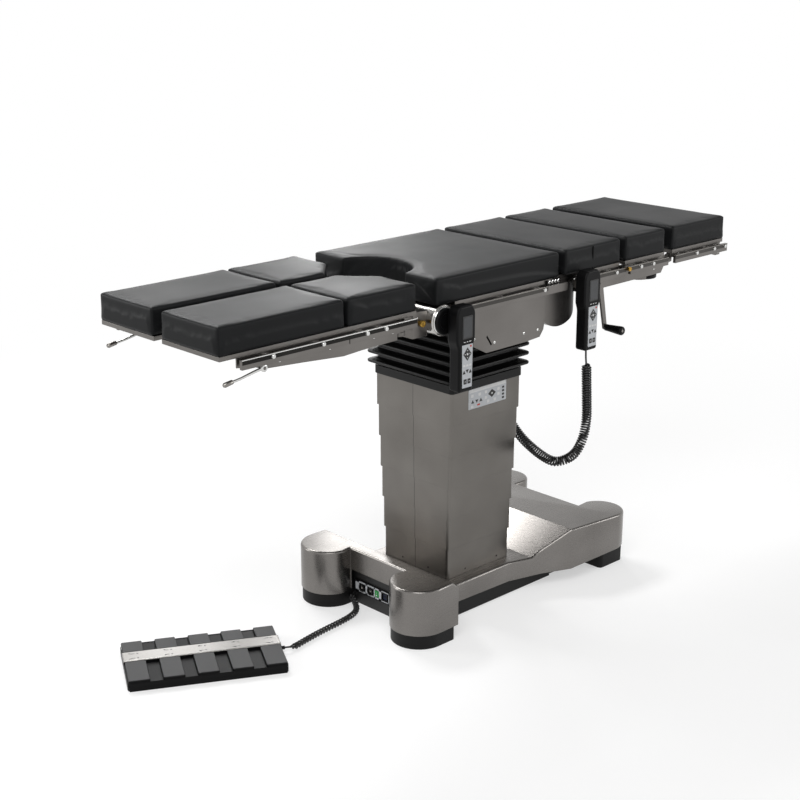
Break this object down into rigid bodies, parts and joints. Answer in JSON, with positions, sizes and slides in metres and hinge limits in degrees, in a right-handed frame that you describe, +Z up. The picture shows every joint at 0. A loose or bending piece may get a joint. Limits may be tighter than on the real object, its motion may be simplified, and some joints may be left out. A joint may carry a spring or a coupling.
{
  "type": "operating table",
  "caption": "Operating table: padded sectional top with split legs, back, kidney bridge and head, side rails, telescoping steel column, lobed base, two handsets and a foot control.",
  "frame": {"origin": "On the floor, at the centre of the flat underside of the base chassis, under the column.", "axes": "+X runs along the table towards the head end, +Y to the far side, +Z up."},
  "size_m": [2.2123, 0.6832, 1.111],
  "materials": {
    "stainless_column": "Brushed stainless sleeves with vertical grain, a soft gloss.",
    "polished_cover": "Polished stainless with fine scratches.",
    "black_casting": "Black painted cast iron, slightly rough.",
    "rubber": "Matt black rubber.",
    "black_plastic": "Moulded black plastic with a fine texture.",
    "green_plastic": "Glossy green rocker.",
    "dark_steel": "Dark grey painted steel.",
    "frame_steel": "Satin stainless steel.",
    "chrome": "Bright chrome.",
    "brass": "Worn turned brass.",
    "leatherette": "Grey-black conductive leatherette with a fine grain and a satin sheen."
  },
  "bodies": {
    "base": {"base_cover": "polished_cover", "base_chassis": "black_casting", "foot_front_near": "rubber", "foot_front_far": "rubber", "foot_rear_near": "rubber", "foot_rear_far": "rubber", "socket_panel": "black_plastic", "column_sleeve_1": "stainless_column", "lift_cylinder": "dark_steel", "foot_cord": "rubber", "foot_control_base": "black_plastic", "foot_control_strip": "chrome"},
    "switch": {"power_switch": "green_plastic"},
    "pedal_1_rocker": {"pedal_1": "black_plastic"},
    "pedal_2_rocker": {"pedal_2": "black_plastic"},
    "pedal_3_rocker": {"pedal_3": "black_plastic"},
    "pedal_4_rocker": {"pedal_4": "black_plastic"},
    "pedal_5_rocker": {"pedal_5": "black_plastic"},
    "sleeve_2": {"column_sleeve_2": "stainless_column"},
    "sleeve_3": {"column_sleeve_3": "stainless_column"},
    "sleeve_4": {"column_sleeve_4": "stainless_column"},
    "sleeve_5": {"column_sleeve_5": "stainless_column"},
    "stage": {"lift_stage": "frame_steel"},
    "lift_head": {"column_sleeve_6": "stainless_column", "lift_ram": "chrome", "column_head": "dark_steel", "bellows_collar": "rubber", "bellows": "rubber", "handset_cord": "rubber"},
    "trend": {"trend_yoke": "dark_steel"},
    "roll": {"roll_frame": "dark_steel"},
    "table_top": {"seat_frame": "frame_steel", "seat_skirt_near": "frame_steel", "seat_skirt_far": "frame_steel", "seat_cushion": "leatherette", "seat_rail_near": "frame_steel", "seat_rail_far": "frame_steel", "back_joint_cover_near": "dark_steel", "back_joint_cover_far": "dark_steel"},
    "knee_near": {"leg_joint_near": "frame_steel"},
    "lock_near": {"leg_lock_pin_near": "brass"},
    "leg_near": {"leg_frame_near": "frame_steel", "leg_outer_cushion_near": "leatherette", "leg_inner_cushion_near": "leatherette"},
    "lever_near": {"leg_lever_near": "black_plastic"},
    "knee_far": {"leg_joint_far": "frame_steel"},
    "lock_far": {"leg_lock_pin_far": "brass"},
    "leg_far": {"leg_frame_far": "frame_steel", "leg_outer_cushion_far": "leatherette", "leg_inner_cushion_far": "leatherette"},
    "lever_far": {"leg_lever_far": "black_plastic"},
    "back": {"back_frame": "frame_steel", "back_cushion": "leatherette"},
    "bridge": {"bridge_plate": "frame_steel", "lumbar_cushion": "leatherette"},
    "crank": {"bridge_crank": "black_plastic"},
    "head": {"head_frame": "frame_steel", "head_cushion": "leatherette"},
    "handset_1_body": {"handset_1": "black_plastic"},
    "handset_2_body": {"handset_2": "black_plastic"}
  },
  "joints": [
    {"name": "lift", "type": "slide", "parent": "base", "child": "lift_head", "axis": [0, 0, 1], "range_m": [-0.4, 0.02]},
    {"name": "sleeve_2_slide", "type": "slide", "parent": "base", "child": "sleeve_2", "axis": [0, 0, 1], "range_m": [-0.08, 0.004]},
    {"name": "sleeve_3_slide", "type": "slide", "parent": "base", "child": "sleeve_3", "axis": [0, 0, 1], "range_m": [-0.16, 0.008]},
    {"name": "sleeve_4_slide", "type": "slide", "parent": "base", "child": "sleeve_4", "axis": [0, 0, 1], "range_m": [-0.24, 0.012]},
    {"name": "sleeve_5_slide", "type": "slide", "parent": "base", "child": "sleeve_5", "axis": [0, 0, 1], "range_m": [-0.32, 0.016]},
    {"name": "stage_slide", "type": "slide", "parent": "base", "child": "stage", "axis": [0, 0, 1], "range_m": [-0.2, 0.01]},
    {"name": "trendelenburg", "type": "hinge", "parent": "lift_head", "child": "trend", "pos_m": [0, 0, 0.83], "axis": [0, 1, 0], "range_deg": [-25, 25], "deforming": ["bellows", "handset_cord"]},
    {"name": "side_tilt", "type": "hinge", "parent": "trend", "child": "roll", "pos_m": [0, 0, 0.952], "axis": [1, 0, 0], "range_deg": [-18, 18]},
    {"name": "top_slide", "type": "slide", "parent": "roll", "child": "table_top", "axis": [1, 0, 0], "range_m": [-0.15, 0.15]},
    {"name": "leg_pitch_near", "type": "hinge", "parent": "table_top", "child": "knee_near", "pos_m": [-0.284, -0.21, 0.988], "axis": [0, -1, 0], "range_deg": [-20, 90]},
    {"name": "leg_swing_near", "type": "hinge", "parent": "knee_near", "child": "leg_near", "pos_m": [-0.43, -0.235, 0.99], "axis": [0, 0, -1], "range_deg": [-90, 0]},
    {"name": "leg_lock_near_pull", "type": "slide", "parent": "knee_near", "child": "lock_near", "axis": [0, -1, 0], "range_m": [0, 0.008]},
    {"name": "leg_lever_near_lift", "type": "hinge", "parent": "leg_near", "child": "lever_near", "pos_m": [-0.928, -0.256, 0.98], "axis": [0, 1, 0], "range_deg": [0, 15]},
    {"name": "leg_pitch_far", "type": "hinge", "parent": "table_top", "child": "knee_far", "pos_m": [-0.284, 0.21, 0.988], "axis": [0, -1, 0], "range_deg": [-20, 90]},
    {"name": "leg_swing_far", "type": "hinge", "parent": "knee_far", "child": "leg_far", "pos_m": [-0.43, 0.235, 0.99], "axis": [0, 0, 1], "range_deg": [-90, 0]},
    {"name": "leg_lock_far_pull", "type": "slide", "parent": "knee_far", "child": "lock_far", "axis": [0, 1, 0], "range_m": [0, 0.008]},
    {"name": "leg_lever_far_lift", "type": "hinge", "parent": "leg_far", "child": "lever_far", "pos_m": [-0.928, 0.256, 0.98], "axis": [0, 1, 0], "range_deg": [0, 15]},
    {"name": "back_tilt", "type": "hinge", "parent": "table_top", "child": "back", "pos_m": [0.235, 0, 0.98], "axis": [0, -1, 0], "range_deg": [-20, 70], "deforming": ["lumbar_cushion"]},
    {"name": "bridge_lift", "type": "slide", "parent": "back", "child": "bridge", "axis": [0, 0, 1], "range_m": [0, 0.1]},
    {"name": "crank_turn", "type": "hinge", "parent": "back", "child": "crank", "pos_m": [0.3875, -0.28, 0.98], "axis": [0, -1, 0], "range_deg": [0, 180]},
    {"name": "head_tilt", "type": "hinge", "parent": "back", "child": "head", "pos_m": [0.7615, 0, 0.999], "axis": [0, -1, 0], "range_deg": [-90, 15]},
    {"name": "handset_1_unhook", "type": "slide", "parent": "table_top", "child": "handset_1_body", "axis": [0, 0, 1], "range_m": [0, 0.03]},
    {"name": "handset_2_unhook", "type": "slide", "parent": "back", "child": "handset_2_body", "axis": [0, 0, 1], "range_m": [0, 0.03]},
    {"name": "pedal_1_rock", "type": "hinge", "parent": "base", "child": "pedal_1_rocker", "pos_m": [-1.04382, 0.23076, 0.019], "axis": [0.8746, -0.4848, 0], "range_deg": [-2.5, 2.5]},
    {"name": "pedal_2_rock", "type": "hinge", "parent": "base", "child": "pedal_2_rocker", "pos_m": [-0.95811, 0.18325, 0.019], "axis": [0.8746, -0.4848, 0], "range_deg": [-2.5, 2.5]},
    {"name": "pedal_3_rock", "type": "hinge", "parent": "base", "child": "pedal_3_rocker", "pos_m": [-0.87239, 0.13574, 0.019], "axis": [0.8746, -0.4848, 0], "range_deg": [-2.5, 2.5]},
    {"name": "pedal_4_rock", "type": "hinge", "parent": "base", "child": "pedal_4_rocker", "pos_m": [-0.78668, 0.08823, 0.019], "axis": [0.8746, -0.4848, 0], "range_deg": [-2.5, 2.5]},
    {"name": "pedal_5_rock", "type": "hinge", "parent": "base", "child": "pedal_5_rocker", "pos_m": [-0.70097, 0.04072, 0.019], "axis": [0.8746, -0.4848, 0], "range_deg": [-2.5, 2.5]},
    {"name": "power_switch_rock", "type": "hinge", "parent": "base", "child": "switch", "pos_m": [-0.29, 0.011, 0.0615], "axis": [0, 1, 0], "range_deg": [-6, 6]}
  ],
  "couplings": [
    {"joint": "sleeve_2_slide", "follows": "lift", "ratio": 0.2},
    {"joint": "sleeve_3_slide", "follows": "lift", "ratio": 0.4},
    {"joint": "sleeve_4_slide", "follows": "lift", "ratio": 0.6},
    {"joint": "sleeve_5_slide", "follows": "lift", "ratio": 0.8},
    {"joint": "stage_slide", "follows": "lift", "ratio": 0.5},
    {"joint": "bridge_lift", "follows": "crank_turn", "m_per_rad": 0.0318}
  ]
}
